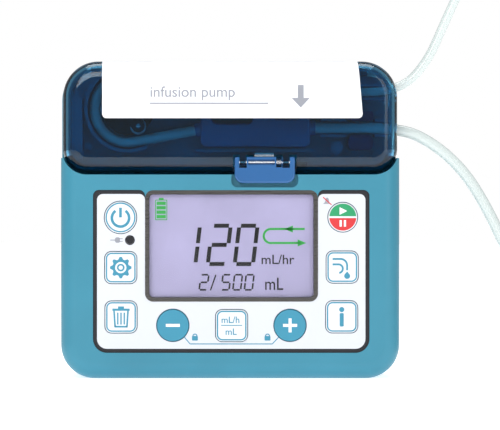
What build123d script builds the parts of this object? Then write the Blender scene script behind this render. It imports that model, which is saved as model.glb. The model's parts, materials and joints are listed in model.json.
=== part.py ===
from build123d import *
import os
from math import acos, atan2, cos, hypot, pi, radians, sin, tan

# Portable rotary infusion pump. All lengths are in millimetres.
# +X is the pump's right-hand side seen from the front, +Y its back and +Z up.
# It stands on its flat base at z = 0, centred on x = 0 and y = 0.

# ---- Case ----
CASE_W = 126.0
CASE_H = 118.0
CASE_D = 42.0
FRONT_Y = -CASE_D / 2
BACK_Y = CASE_D / 2
BOTTOM_R = 12.6
TOP_R = 14.0
FRONT_EDGE_R = 6.0
BACK_EDGE_R = 5.0
WALL = 2.2
SPLIT_GAP = 0.4

# ---- Door ----
DOOR_HALF_W = 62.2
DOOR_BOTTOM = 76.2
DOOR_CORNER_R = 9.0
DOOR_WALL = 1.8
HINGE_Y = 0.6
HINGE_Z = 115.8
BARREL_R = 2.2
BARREL_CLEAR_R = 2.6
HINGE_PIN_R = 0.9
LUG_X = 50.5
LUG_W = 3.6
FILM_T = 0.25

# ---- Latch ----
LATCH_X = 12.7
LATCH_W = 22.4
LATCH_PIN_Y = -19.0
LATCH_PIN_Z = 80.4
LATCH_PIN_R = 0.8

# ---- Rotor, drive and pumping tube ----
ROTOR_X = -38.0
ROTOR_Z = 100.5
TUBE_Y = -8.0
SHAFT_R = 1.8
RUNNING_CLEARANCE = 0.05
ROLLER_COUNT = 3
ROLLER_R = 3.0
ROLLER_PITCH_R = 7.5
ROLLER_PIN_R = 0.8
PUMP_TUBE_R = 2.0
PUMP_TUBE_BORE_R = 1.3
LOOP_R = ROLLER_PITCH_R + ROLLER_R + 0.1 + PUMP_TUBE_R
WELL_R = LOOP_R + PUMP_TUBE_R + 0.6
GEAR_MODULE = 0.6
GEAR_TEETH = 42
PINION_TEETH = 14
GEAR_CENTRES = GEAR_MODULE * (GEAR_TEETH + PINION_TEETH) / 2 + 0.15
MOTOR_X = ROTOR_X + GEAR_CENTRES
MOTOR_SHAFT_R = 0.75

# ---- Giving set ----
CASSETTE_LEFT = -11.0
CASSETTE_RIGHT = 30.0
PORT_RISE = 8.0
INLET_R = 1.7
INLET_Z = 106.9
OUTLET_R = 2.1
OUTLET_Z = 93.4

# ---- Key panel and display ----
PANEL_LEFT = -49.5
PANEL_RIGHT = 50.0
PANEL_BOTTOM = 11.2
PANEL_TOP = 68.6
PANEL_FLOOR_Y = -19.2
PANEL_FRONT_Y = -20.7
PANEL_GAP = 1.5
LCD_LEFT = -31.7
LCD_RIGHT = 32.4
LCD_BOTTOM = 28.7
LCD_TOP = 70.0
LCD_RIM = 1.5
KEY_FRONT_Y = -20.95
KEY_BACK_Y = -19.75
KEY_GAP = 0.3
KEY_R = 5.9
SMALL_KEY_R = 5.4
KEY_SIDE = 11.7
KEY_CORNER_R = 2.4
ROUND_KEYS = {
    "power_key": (-40.8, 59.9, KEY_R),
    "minus_key": (-21.4, 19.9, KEY_R),
    "plus_key": (22.05, 19.9, KEY_R),
    "start_key": (41.6, 60.0, SMALL_KEY_R),
}
SQUARE_KEYS = {
    "settings_key": (-40.7, 41.3),
    "bin_key": (-40.6, 23.0),
    "unit_key": (0.4, 19.8),
    "fill_key": (41.4, 41.5),
    "info_key": (41.2, 23.05),
}
LAMP_X = -37.3
LAMP_Z = 51.5
LAMP_R = 1.85

# ---- Fixings ----
SCREW_POINTS = [(-54.6, 22.0), (54.6, 22.0), (-54.6, 64.0), (54.6, 64.0)]
DECK_SCREW_POINTS = [(-56.4, 82.6), (56.4, 82.6), (18.0, 106.5)]
BRACKET_POSTS = [(-55.0, 94.0), (-9.0, 108.0), (-9.0, 88.0)]
SCREW_R = 1.25
BOSS_R = 3.2


def facing_front(y):
    """Plane across the case at depth y, with its normal toward the front."""
    return Plane.XZ.offset(-y)


def facing_right(x):
    """Plane along the case at side position x, with its normal toward +X."""
    return Plane.YZ.offset(x)


def save(piece, label):
    """Name a finished sub-part and write it as its own STEP file."""
    piece.part.label = label
    export_step(piece.part, f"parts/{label}.step")


def case_face(plane, inset=0.0):
    """Front outline of the case, moved inward by inset."""
    with BuildSketch(plane) as face:
        with Locations((0, CASE_H / 2)):
            Rectangle(CASE_W - 2 * inset, CASE_H - 2 * inset)
        fillet(face.vertices().group_by(Axis.Y)[0], BOTTOM_R - inset)
        fillet(face.vertices().group_by(Axis.Y)[-1], TOP_R - inset)
    return face.sketch


def door_face(plane, inset=0.0):
    """Front outline of the door, moved inward by inset."""
    bottom = DOOR_BOTTOM + inset
    top = CASE_H - inset
    with BuildSketch(plane) as face:
        with Locations((0, (bottom + top) / 2)):
            Rectangle(2 * (DOOR_HALF_W - inset), top - bottom)
        fillet(face.vertices().group_by(Axis.Y)[0], DOOR_CORNER_R - inset)
        fillet(face.vertices().group_by(Axis.Y)[-1], TOP_R - 0.8 - inset)
    return face.sketch


def case_block(inset=0.0):
    """Closed block of the whole case with soft edges, moved inward by inset."""
    with BuildPart() as block:
        extrude(case_face(facing_front(BACK_Y - inset), inset), amount=CASE_D - 2 * inset)
        fillet(block.faces().sort_by(Axis.Y)[0].edges(), FRONT_EDGE_R - inset)
        fillet(block.faces().sort_by(Axis.Y)[-1].edges(), BACK_EDGE_R - inset)
    return block.part


def door_block(inset=0.0, back=-SPLIT_GAP):
    """Closed block of the door, moved inward by inset and reaching back to a depth."""
    with BuildPart() as block:
        extrude(door_face(facing_front(back), inset), amount=back - FRONT_Y - inset)
        fillet(block.faces().sort_by(Axis.Y)[0].edges(), FRONT_EDGE_R - inset)
    return block.part


def box_at(x0, x1, y0, y1, z0, z1, mode=Mode.ADD):
    """Box between two corners, in the active part."""
    with Locations(((x0 + x1) / 2, (y0 + y1) / 2, (z0 + z1) / 2)):
        Box(x1 - x0, y1 - y0, z1 - z0, mode=mode)


def post_at(points, radius, y_front, y_back, mode=Mode.ADD):
    """Round posts along Y at front-view points, in the active part."""
    with BuildSketch(facing_front(y_back)) as rounds:
        with Locations(*points):
            Circle(radius)
    extrude(rounds.sketch, amount=y_back - y_front, mode=mode)


def rod_x(x0, x1, y, z, radius, mode=Mode.ADD):
    """Round rod along X, in the active part."""
    with BuildSketch(facing_right(x0)) as end:
        with Locations((y, z)):
            Circle(radius)
    extrude(end.sketch, amount=x1 - x0, mode=mode)


def panel_face(plane, grow=0.0):
    """Recess outline: two key columns and the display block over a shared base."""
    with BuildSketch(plane) as face:
        low = PANEL_BOTTOM - grow
        for left, right, top, radius in (
            (PANEL_LEFT - grow, LCD_LEFT, PANEL_TOP + grow, 2.2),
            (LCD_LEFT, LCD_RIGHT, LCD_TOP, 3.0),
            (LCD_RIGHT, PANEL_RIGHT + grow, PANEL_TOP + grow, 2.2),
        ):
            with BuildSketch(plane, mode=Mode.PRIVATE) as column:
                with Locations(((left + right) / 2, (low + top) / 2)):
                    Rectangle(right - left, top - low)
                fillet(column.vertices().group_by(Axis.Y)[-1], radius)
            add(column.sketch_local)
        fillet(face.vertices().group_by(Axis.Y)[0].sort_by(Axis.X)[0], 3.7 + grow)
        fillet(face.vertices().group_by(Axis.Y)[0].sort_by(Axis.X)[-1], 3.7 + grow)
    return face.sketch


def lcd_face(plane, inset=0.0, radius=3.0):
    """Outline of the display opening, moved inward by inset."""
    with BuildSketch(plane) as face:
        with Locations(((LCD_LEFT + LCD_RIGHT) / 2, (LCD_BOTTOM + LCD_TOP) / 2)):
            width = LCD_RIGHT - LCD_LEFT - 2 * inset
            height = LCD_TOP - LCD_BOTTOM - 2 * inset
            RectangleRounded(width, height, radius)
    return face.sketch


def key_faces(plane, grow=0.0):
    """All the key outlines, grown by a clearance."""
    with BuildSketch(plane) as face:
        for x, z, radius in ROUND_KEYS.values():
            with Locations((x, z)):
                Circle(radius + grow)
        for x, z in SQUARE_KEYS.values():
            with Locations((x, z)):
                side = KEY_SIDE + 2 * grow
                RectangleRounded(side, side, KEY_CORNER_R + grow)
    return face.sketch


def key_points():
    """Front-view centres of all the keys."""
    return [(x, z) for x, z, _ in ROUND_KEYS.values()] + list(SQUARE_KEYS.values())


os.makedirs("parts", exist_ok=True)

# ---- Front housing: lower shell that holds the key panel and the display ----
HOUSING_TOP = DOOR_BOTTOM - SPLIT_GAP
CAVITY_TOP = 71.4
CAVITY_FRONT_Y = -17.4
HORN_TOP = 82.0
STEM_HOLE_R = 1.9

with BuildPart() as front_cavity:
    add(case_block(WALL))
    box_at(-70, 70, CAVITY_FRONT_Y, 1, -1, CAVITY_TOP, mode=Mode.INTERSECT)

with BuildPart() as front_housing:
    add(case_block())
    box_at(-70, 70, -30, 0, -1, HORN_TOP, mode=Mode.INTERSECT)
    add(front_cavity.part, mode=Mode.SUBTRACT)
    extrude(door_face(facing_front(1), -SPLIT_GAP), amount=30, mode=Mode.SUBTRACT)
    post_at(SCREW_POINTS, BOSS_R, CAVITY_FRONT_Y, 0)
    post_at(SCREW_POINTS, SCREW_R, -12, 0, mode=Mode.SUBTRACT)
    extrude(panel_face(facing_front(PANEL_FLOOR_Y), PANEL_GAP), amount=5, mode=Mode.SUBTRACT)
    extrude(lcd_face(facing_front(0), 0.3, 2.7), amount=25, mode=Mode.SUBTRACT)
    post_at(key_points(), STEM_HOLE_R, -20, -16, mode=Mode.SUBTRACT)
    post_at([(LAMP_X, LAMP_Z)], 1.2, -20, -16, mode=Mode.SUBTRACT)
    with BuildSketch(facing_front(-18.0)) as thumb_scoop:
        with Locations((LATCH_X, 74.0)):
            RectangleRounded(LATCH_W + 2.4, 6.0, 2.4)
    extrude(thumb_scoop.sketch, amount=5, mode=Mode.SUBTRACT)
save(front_housing, "front_housing")

# ---- Rear housing: full-height shell with the hinge trough and the battery bay ----
BAY_HALF_W = 30.0
BAY_BOTTOM = 16.0
BAY_TOP = 60.0
BAY_FRONT_Y = 6.4
BAY_WALL = 1.4
INSERT_X = 18.0
INSERT_Z = 84.0
INSERT_R = 3.2
INSERT_BORE_R = 2.1
SPEAKER_X = 42.0
SPEAKER_Z = 96.0
SOCKET_Y = 11.0
SOCKET_Z = 34.0
SOCKET_R = 4.2
SEAL_INSET = 0.6
SEAL_W = 1.0
SEAL_DEPTH = 0.8

with BuildPart() as seal_ring:
    extrude(case_face(facing_front(SEAL_DEPTH), SEAL_INSET), amount=SEAL_DEPTH)
    inner = case_face(facing_front(SEAL_DEPTH), SEAL_INSET + SEAL_W)
    extrude(inner, amount=SEAL_DEPTH, mode=Mode.SUBTRACT)
    box_at(-70, 70, -1, 2, -1, HOUSING_TOP - 4, mode=Mode.INTERSECT)
save(seal_ring, "housing_seal")

with BuildPart() as trough_bar:
    box_at(-58, 58, 0, HINGE_Y + 4.0, 111.8, 118)
    add(case_block(0.5), mode=Mode.INTERSECT)

with BuildPart() as rear_housing:
    add(case_block())
    add(case_block(WALL), mode=Mode.SUBTRACT)
    box_at(-70, 70, 0, 30, -1, 130, mode=Mode.INTERSECT)
    add(trough_bar.part)
    rod_x(-57, 57, HINGE_Y, HINGE_Z, BARREL_CLEAR_R, mode=Mode.SUBTRACT)
    box_at(-53, 53, 0, 3.4, 116.6, 118.5, mode=Mode.SUBTRACT)
    for side in (-1, 1):
        lug_x = side * LUG_X
        rod_x(lug_x - LUG_W / 2, lug_x + LUG_W / 2, HINGE_Y, HINGE_Z, 2.0)
        box_at(lug_x - LUG_W / 2, lug_x + LUG_W / 2, HINGE_Y, HINGE_Y + 3, 112.6, HINGE_Z)
    rod_x(-54, 54, HINGE_Y, HINGE_Z, HINGE_PIN_R, mode=Mode.SUBTRACT)
    post_at(SCREW_POINTS, BOSS_R + 0.6, 0.2, BACK_Y - WALL)
    post_at(DECK_SCREW_POINTS, BOSS_R, 2.2, BACK_Y - WALL)
    bay_out = BAY_HALF_W + BAY_WALL
    box_at(-bay_out, bay_out, BAY_FRONT_Y, 19, BAY_BOTTOM - BAY_WALL, BAY_TOP + BAY_WALL)
    bay_front = BAY_FRONT_Y + BAY_WALL
    box_at(-BAY_HALF_W, BAY_HALF_W, bay_front, 25, BAY_BOTTOM, BAY_TOP, mode=Mode.SUBTRACT)
    post_at([(INSERT_X, INSERT_Z)], INSERT_R + 2.0, 11, BACK_Y - WALL)
    post_at([(INSERT_X, INSERT_Z)], INSERT_R, 12.5, 25, mode=Mode.SUBTRACT)
    all_screws = SCREW_POINTS + DECK_SCREW_POINTS
    post_at(all_screws, SCREW_R + 0.15, 0, 25, mode=Mode.SUBTRACT)
    post_at(all_screws, 2.6, BACK_Y - 5.0, 25, mode=Mode.SUBTRACT)
    rod_x(55, 66, SOCKET_Y, SOCKET_Z, SOCKET_R, mode=Mode.SUBTRACT)
    add(seal_ring.part, mode=Mode.SUBTRACT)
    with BuildSketch(facing_front(25)) as speaker_slots:
        with Locations((SPEAKER_X, SPEAKER_Z)):
            with GridLocations(2.6, 2.6, 4, 4):
                Circle(0.7)
    extrude(speaker_slots.sketch, amount=8, mode=Mode.SUBTRACT)
save(rear_housing, "rear_housing")

# ---- Door: clear shell with a barrel hinge, tube notches and latch window ----
FILM_LEFT = -47.6
FILM_BOTTOM = 96.7
WINDOW_TOP = 83.2
LATCH_LUG_XS = (LATCH_X - 8.1, LATCH_X + 7.9)
HOOK_HALF_W = 4.0

with BuildPart() as door_film:
    add(door_block())
    add(door_block(FILM_T, 5), mode=Mode.SUBTRACT)
    with BuildSketch(facing_front(-5)) as film_outline:
        with BuildLine():
            Polyline(
                (FILM_LEFT, 119), (FILM_LEFT, FILM_BOTTOM), (49.1, FILM_BOTTOM), (47.2, 119), close=True
            )
        make_face()
        fillet(film_outline.vertices().group_by(Axis.Y)[0], 1.6)
    extrude(film_outline.sketch, amount=20, mode=Mode.INTERSECT)
save(door_film, "door_film")

with BuildPart() as door:
    add(door_block())
    add(door_block(DOOR_WALL, 5), mode=Mode.SUBTRACT)
    rod_x(-48, 48, HINGE_Y, HINGE_Z, BARREL_R)
    for side in (-1, 1):
        end = side * 48
        rod_x(min(end, end - side * 5), max(end, end - side * 5), HINGE_Y, HINGE_Z,
              HINGE_PIN_R + RUNNING_CLEARANCE, mode=Mode.SUBTRACT)
        lug_x = side * LUG_X
        rod_x(lug_x - LUG_W / 2 - 0.4, lug_x + LUG_W / 2 + 0.4, HINGE_Y, HINGE_Z,
              BARREL_CLEAR_R, mode=Mode.SUBTRACT)
        box_at(min(side * 52, side * 60), max(side * 52, side * 60), -2.2, 4, 113.0, 119,
               mode=Mode.SUBTRACT)
    for tube_z, half_slot in ((INLET_Z, INLET_R + 1.3), (OUTLET_Z, OUTLET_R + 1.0)):
        reach = hypot(TUBE_Y - HINGE_Y, tube_z - HINGE_Z)
        with BuildSketch(facing_right(57.5)) as tube_slot:
            with Locations((HINGE_Y, HINGE_Z)):
                Circle(reach + half_slot)
                Circle(reach - half_slot, mode=Mode.SUBTRACT)
            with Locations((TUBE_Y + 10, tube_z - 10)):
                Rectangle(20, 20 + 2 * half_slot, mode=Mode.INTERSECT)
            with Locations((TUBE_Y, tube_z)):
                Circle(half_slot)
        extrude(tube_slot.sketch, amount=8, mode=Mode.SUBTRACT)
    box_at(LATCH_X - LATCH_W / 2 - 0.6, LATCH_X + LATCH_W / 2 + 0.6, -22, -17.5, 70, WINDOW_TOP,
           mode=Mode.SUBTRACT)
    box_at(LATCH_X - HOOK_HALF_W - 0.7, LATCH_X + HOOK_HALF_W + 0.7, -19, 1, 70, 78.4,
           mode=Mode.SUBTRACT)
    for lug_x in LATCH_LUG_XS:
        box_at(lug_x - 1.1, lug_x + 1.1, -20.2, -17.8, LATCH_PIN_Z - 1.5, WINDOW_TOP + 1)
        rod_x(lug_x - 2, lug_x + 2, LATCH_PIN_Y, LATCH_PIN_Z, LATCH_PIN_R, mode=Mode.SUBTRACT)
    for groove_x in (LATCH_X - LATCH_W / 2 - 1.0, LATCH_X + LATCH_W / 2 + 1.0):
        box_at(groove_x - 0.7, groove_x + 0.7, -22, -20.5, WINDOW_TOP, 96.0, mode=Mode.SUBTRACT)
    with BuildSketch(facing_front(-20.6)) as badge_line:
        with Locations((LATCH_X, 88.9)):
            RectangleRounded(18.6, 9.4, 1.2)
            RectangleRounded(17.6, 8.4, 0.8, mode=Mode.SUBTRACT)
    extrude(badge_line.sketch, amount=2, mode=Mode.SUBTRACT)
    add(door_film.part, mode=Mode.SUBTRACT)
    box_at(24, 29, -9, -4, 77.9, 80.4)
    box_at(24.8, 28.2, -8.2, -4.8, 77.9, 81, mode=Mode.SUBTRACT)
save(door, "door")

with BuildPart() as door_magnet:
    box_at(24.8, 28.2, -8.2, -4.8, 77.9, 80.2)
save(door_magnet, "door_magnet")

with BuildPart() as hinge_pins:
    for side in (-1, 1):
        inner_end = side * 43.5
        outer_end = side * (LUG_X + LUG_W / 2)
        rod_x(min(inner_end, outer_end), max(inner_end, outer_end), HINGE_Y, HINGE_Z, HINGE_PIN_R)
save(hinge_pins, "door_hinge_pins")

# ---- Latch: push tab with a hook, its pin and its return spring ----
LATCH_LEFT = LATCH_X - LATCH_W / 2
LATCH_RIGHT = LATCH_X + LATCH_W / 2
SPRING_X = 18.0

with BuildPart() as latch_tab:
    with BuildSketch(facing_front(-18.4)) as tab_outline:
        with Locations((LATCH_X, 77.5)):
            Rectangle(LATCH_W, 9.8)
        fillet(tab_outline.vertices().group_by(Axis.Y)[0], 3.2)
        fillet(tab_outline.vertices().group_by(Axis.Y)[-1], 0.8)
    extrude(tab_outline.sketch, amount=2.6)
    fillet(latch_tab.faces().sort_by(Axis.Y)[0].edges(), 0.6)
    rod_x(LATCH_LEFT, LATCH_RIGHT, LATCH_PIN_Y, LATCH_PIN_Z, 1.6)
    box_at(LATCH_X - HOOK_HALF_W, LATCH_X + HOOK_HALF_W, -18.8, -12.9, 79.2, 80.6)
    box_at(LATCH_X - HOOK_HALF_W, LATCH_X + HOOK_HALF_W, -14.1, -12.9, 80.4, 81.4)
    for lug_x in LATCH_LUG_XS:
        box_at(lug_x - 1.4, lug_x + 1.4, -22, -17, 78.3, 83, mode=Mode.SUBTRACT)
    box_at(SPRING_X - 1.1, SPRING_X + 1.0, -22, -17, 78.5, 83, mode=Mode.SUBTRACT)
    box_at(6.6, 16.4, -22, -19.6, 79.3, 81.5, mode=Mode.SUBTRACT)
    pin_clear = LATCH_PIN_R + RUNNING_CLEARANCE
    rod_x(0, 26, LATCH_PIN_Y, LATCH_PIN_Z, pin_clear, mode=Mode.SUBTRACT)
save(latch_tab, "latch_tab")

with BuildPart() as latch_pin:
    rod_x(LATCH_LUG_XS[0] - 1.7, LATCH_LUG_XS[1] + 1.7, LATCH_PIN_Y, LATCH_PIN_Z, LATCH_PIN_R)
save(latch_pin, "latch_pin")

with BuildPart() as latch_spring:
    with Locations(*[Plane.YZ.offset(SPRING_X + turn * 0.56) * Location((LATCH_PIN_Y, LATCH_PIN_Z, 0))
                     for turn in (-1, 0, 1)]):
        Torus(1.16, 0.22)
save(latch_spring, "latch_spring")

# ---- Pump deck: plate with the rotor well, cassette pocket and tube channels ----
SWING_R = 37.2
DECK_FRONT_Y = -2.0
BUSH_R = 3.4
CHANNEL_START = 34.0
CHANNEL_END = 59.0
SENSOR_X0 = 44.0
SENSOR_X1 = 54.0

with BuildPart() as deck_features:
    post_at([(ROTOR_X, ROTOR_Z)], WELL_R + 1.2, -12.5, DECK_FRONT_Y)
    post_at([(ROTOR_X, ROTOR_Z)], WELL_R, -13, -1, mode=Mode.SUBTRACT)
    box_at(ROTOR_X + 7, ROTOR_X + 30, -13, -1, 80, 120, mode=Mode.SUBTRACT)
    box_at(ROTOR_X - 30, ROTOR_X + 30, -13, -1, 113, 120, mode=Mode.SUBTRACT)
    for ridge_r in (17.6, 19.0, 20.4):
        with BuildSketch(facing_front(DECK_FRONT_Y)) as ridge:
            with Locations((ROTOR_X, ROTOR_Z)):
                Circle(ridge_r + 0.5)
                Circle(ridge_r, mode=Mode.SUBTRACT)
            with Locations((ROTOR_X + 4, ROTOR_Z - 20)):
                Rectangle(30, 26, mode=Mode.INTERSECT)
        extrude(ridge.sketch, amount=1.4)
    with BuildSketch(facing_front(DECK_FRONT_Y)) as pillar:
        with Locations((-57.3, 93.0)):
            RectangleRounded(4.4, 25.0, 1.8)
    extrude(pillar.sketch, amount=9)
    box_at(-13, 32, -9.5, DECK_FRONT_Y, 84.4, 85.6)
    box_at(-13, 32, -9.5, DECK_FRONT_Y, 112.0, 113.0)
    for tube_z, tube_r in ((INLET_Z, INLET_R), (OUTLET_Z, OUTLET_R)):
        for side in (-1, 1):
            rib_z = tube_z + side * (tube_r + 0.8)
            box_at(CHANNEL_START, CHANNEL_END, -9.0, DECK_FRONT_Y, rib_z - 0.5, rib_z + 0.5)
    box_at(SENSOR_X0 - 0.3, SENSOR_X1 + 0.3, -12, DECK_FRONT_Y, 85, 100, mode=Mode.SUBTRACT)
    post_at([(-52.8, 86.7), (40.2, 86.0)], 1.5, -7.0, DECK_FRONT_Y)
    post_at([(40.2, 86.0)], 2.5, -8.4, -7.0)
    post_at(DECK_SCREW_POINTS, BOSS_R - 0.2, -4.3, DECK_FRONT_Y)
    add(door_block(DOOR_WALL + 0.6, 0), mode=Mode.INTERSECT)
    rod_x(-70, 70, HINGE_Y, HINGE_Z, SWING_R, mode=Mode.INTERSECT)
    box_at(-61, -55.8, -12, -6.2, 79, 84.4, mode=Mode.SUBTRACT)

with BuildPart() as pump_deck:
    extrude(door_face(facing_front(0), DOOR_WALL + 0.6), amount=2.0)
    box_at(-70, 70, -3, 1, 70, 113, mode=Mode.INTERSECT)
    with BuildPart(mode=Mode.PRIVATE) as flange:
        extrude(case_face(facing_front(2.0), WALL + 0.3), amount=1.8)
        box_at(-70, 70, 0.2, 3, 73, 111.4, mode=Mode.INTERSECT)
    add(flange.part)
    box_at(-56, 56, -1, 1, 80, 110)
    add(deck_features.part)
    post_at(BRACKET_POSTS, 2.2, 1.5, 8.6)
    post_at(BRACKET_POSTS, 0.8, 4, 9, mode=Mode.SUBTRACT)
    post_at([(ROTOR_X, ROTOR_Z)], BUSH_R, -4, 3, mode=Mode.SUBTRACT)
    post_at(DECK_SCREW_POINTS, SCREW_R, -4, 3, mode=Mode.SUBTRACT)
save(pump_deck, "pump_deck")

with BuildPart() as latch_catch:
    box_at(LATCH_X - 3.6, LATCH_X + 3.6, -3.2, DECK_FRONT_Y, 80.0, 84.0)
    box_at(LATCH_X - 3.6, LATCH_X + 3.6, -15.2, -3.2, 82.9, 84.0)
    box_at(LATCH_X - 3.6, LATCH_X + 3.6, -15.2, -14.2, 81.8, 82.9)
    rod_x(-70, 70, HINGE_Y, HINGE_Z, SWING_R, mode=Mode.INTERSECT)
save(latch_catch, "latch_catch")

with BuildPart() as air_sensor:
    with BuildSketch(facing_front(DECK_FRONT_Y)) as sensor_body:
        with Locations((49.0, 87.9)):
            RectangleRounded(9.4, 5.6, 2.2)
        with Locations((49.0, 97.9)):
            RectangleRounded(9.4, 3.6, 1.2)
    extrude(sensor_body.sketch, amount=8.0)
    with BuildSketch(facing_front(-9)) as flutes:
        for flute in range(4):
            with Locations((46.0 + 2.0 * flute, 85.1)):
                Circle(0.5)
    extrude(flutes.sketch, amount=2.0, mode=Mode.SUBTRACT)
save(air_sensor, "air_sensor")

# ---- Rotor: carrier, roller pins, drive shaft and gear on one spindle ----
CARRIER_FRONT_Y = -13.0
CARRIER_BACK_Y = -3.6
ROLLER_FRONT_Y = -11.3
ROLLER_BACK_Y = -5.1
ROLLER_POINTS = [
    (ROTOR_X + ROLLER_PITCH_R * cos(2 * pi * i / ROLLER_COUNT + pi),
     ROTOR_Z + ROLLER_PITCH_R * sin(2 * pi * i / ROLLER_COUNT + pi))
    for i in range(ROLLER_COUNT)
]

with BuildPart() as rotor_carrier:
    post_at([(ROTOR_X, ROTOR_Z)], 9.7, -4.8, CARRIER_BACK_Y)
    post_at([(ROTOR_X, ROTOR_Z)], 3.4, CARRIER_FRONT_Y, CARRIER_BACK_Y)
    with BuildSketch(facing_front(-11.5)) as front_arms:
        with BuildSketch(facing_front(-11.5), mode=Mode.PRIVATE) as lobes:
            with Locations(*ROLLER_POINTS):
                Circle(2.4)
            with Locations((ROTOR_X, ROTOR_Z)):
                Circle(4.6)
        for x, z in ROLLER_POINTS:
            with BuildLine():
                angle = atan2(z - ROTOR_Z, x - ROTOR_X)
                across = (-sin(angle), cos(angle))
                Polyline(
                    (x + 2.4 * across[0], z + 2.4 * across[1]),
                    (x - 2.4 * across[0], z - 2.4 * across[1]),
                    (ROTOR_X - 3.6 * across[0], ROTOR_Z - 3.6 * across[1]),
                    (ROTOR_X + 3.6 * across[0], ROTOR_Z + 3.6 * across[1]),
                    close=True,
                )
            make_face()
        add(lobes.sketch_local)
    extrude(front_arms.sketch, amount=1.5)
    post_at([(ROTOR_X, ROTOR_Z)], 3.4, -14.6, CARRIER_FRONT_Y)
    fillet(rotor_carrier.faces().sort_by(Axis.Y)[0].edges(), 1.0)
    post_at(ROLLER_POINTS, ROLLER_PIN_R, -13.5, -3, mode=Mode.SUBTRACT)
    post_at([(ROTOR_X, ROTOR_Z)], SHAFT_R, CARRIER_FRONT_Y, -3, mode=Mode.SUBTRACT)
save(rotor_carrier, "rotor_carrier")

with BuildPart() as roller_pins:
    post_at(ROLLER_POINTS, ROLLER_PIN_R, CARRIER_FRONT_Y, CARRIER_BACK_Y)
save(roller_pins, "roller_pins")

for number, point in enumerate(ROLLER_POINTS, start=1):
    with BuildPart() as roller:
        post_at([point], ROLLER_R, ROLLER_FRONT_Y, ROLLER_BACK_Y)
        chamfer(roller.edges().filter_by(GeomType.CIRCLE), 0.4)
        post_at([point], ROLLER_PIN_R + RUNNING_CLEARANCE, -12, -4, mode=Mode.SUBTRACT)
    save(roller, f"roller_{number}")

with BuildPart() as drive_shaft:
    post_at([(ROTOR_X, ROTOR_Z)], SHAFT_R, CARRIER_FRONT_Y, 11.4)
save(drive_shaft, "drive_shaft")

for label, bush_front, bush_back in (("front_bearing", -3.2, 2.0), ("rear_bearing", 8.6, 11.6)):
    with BuildPart() as bearing:
        post_at([(ROTOR_X, ROTOR_Z)], BUSH_R, bush_front, bush_back)
        post_at([(ROTOR_X, ROTOR_Z)], SHAFT_R + RUNNING_CLEARANCE, -5, 13, mode=Mode.SUBTRACT)
    save(bearing, label)


def gear_blank(centre, teeth, y_front, y_back, tooth_turn):
    """Spur gear along Y in the active part; tooth_turn is the first tooth's angle."""
    pitch_r = GEAR_MODULE * teeth / 2
    root_r = pitch_r - 0.75
    tip_r = pitch_r + 0.5
    with BuildSketch(facing_front(y_back)) as outline:
        with Locations(centre):
            Circle(root_r)
            with PolarLocations(0, teeth, start_angle=tooth_turn):
                Polygon((root_r - 0.2, -0.55), (tip_r, -0.24), (tip_r, 0.24), (root_r - 0.2, 0.55),
                        align=None)
    extrude(outline.sketch, amount=y_back - y_front)


with BuildPart() as rotor_gear:
    gear_blank((ROTOR_X, ROTOR_Z), GEAR_TEETH, 5.0, 8.0, 0.0)
    with BuildSketch(facing_front(9)) as web_holes:
        with Locations((ROTOR_X, ROTOR_Z)):
            with PolarLocations(7.4, 6):
                Circle(2.0)
            Circle(SHAFT_R)
    extrude(web_holes.sketch, amount=5, mode=Mode.SUBTRACT)
save(rotor_gear, "rotor_gear")

with BuildPart() as motor_pinion:
    gear_blank((MOTOR_X, ROTOR_Z), PINION_TEETH, 4.6, 8.2, 180.0 / PINION_TEETH)
    post_at([(MOTOR_X, ROTOR_Z)], MOTOR_SHAFT_R, 4.2, 13.0)
save(motor_pinion, "motor_pinion")

with BuildPart() as motor:
    post_at([(MOTOR_X, ROTOR_Z)], 7.0, 10.6, 17.6)
    chamfer(motor.edges().filter_by(GeomType.CIRCLE), 0.5)
    post_at([(MOTOR_X, ROTOR_Z)], 2.4, 9.6, 11)
    motor_bore = MOTOR_SHAFT_R + RUNNING_CLEARANCE
    post_at([(MOTOR_X, ROTOR_Z)], motor_bore, 9, 13.4, mode=Mode.SUBTRACT)
    box_at(MOTOR_X - 1.6, MOTOR_X - 0.8, 17.4, 18.4, ROTOR_Z - 1, ROTOR_Z + 1)
    box_at(MOTOR_X + 0.8, MOTOR_X + 1.6, 17.4, 18.4, ROTOR_Z - 1, ROTOR_Z + 1)
save(motor, "motor")

with BuildPart() as motor_bracket:
    with BuildSketch(facing_front(10.6)) as bracket_outline:
        Polygon(*BRACKET_POSTS, align=None)
        offset(amount=2.6)
        with Locations((ROTOR_X, ROTOR_Z)):
            Circle(5.6)
    extrude(bracket_outline.sketch, amount=1.4)
    post_at([(ROTOR_X, ROTOR_Z)], BUSH_R, 8, 12, mode=Mode.SUBTRACT)
    post_at([(MOTOR_X, ROTOR_Z)], 2.6, 8, 12, mode=Mode.SUBTRACT)
    post_at(BRACKET_POSTS, 2.2, 8.6, 9.2)
    post_at(BRACKET_POSTS, 0.8, 8, 12, mode=Mode.SUBTRACT)
save(motor_bracket, "motor_bracket")

# ---- Key panel: white plate, black surround, nine keys and the status lamp ----
with BuildPart() as key_panel:
    extrude(panel_face(facing_front(PANEL_FLOOR_Y)), amount=PANEL_FLOOR_Y - PANEL_FRONT_Y)
    extrude(lcd_face(facing_front(-18)), amount=5, mode=Mode.SUBTRACT)
    box_at(LCD_LEFT, LCD_RIGHT, -22, -18, LCD_TOP - 5, LCD_TOP + 2, mode=Mode.SUBTRACT)
    extrude(key_faces(facing_front(-18), KEY_GAP), amount=5, mode=Mode.SUBTRACT)
    post_at([(LAMP_X, LAMP_Z)], LAMP_R, -22, -18, mode=Mode.SUBTRACT)
save(key_panel, "key_panel")

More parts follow.
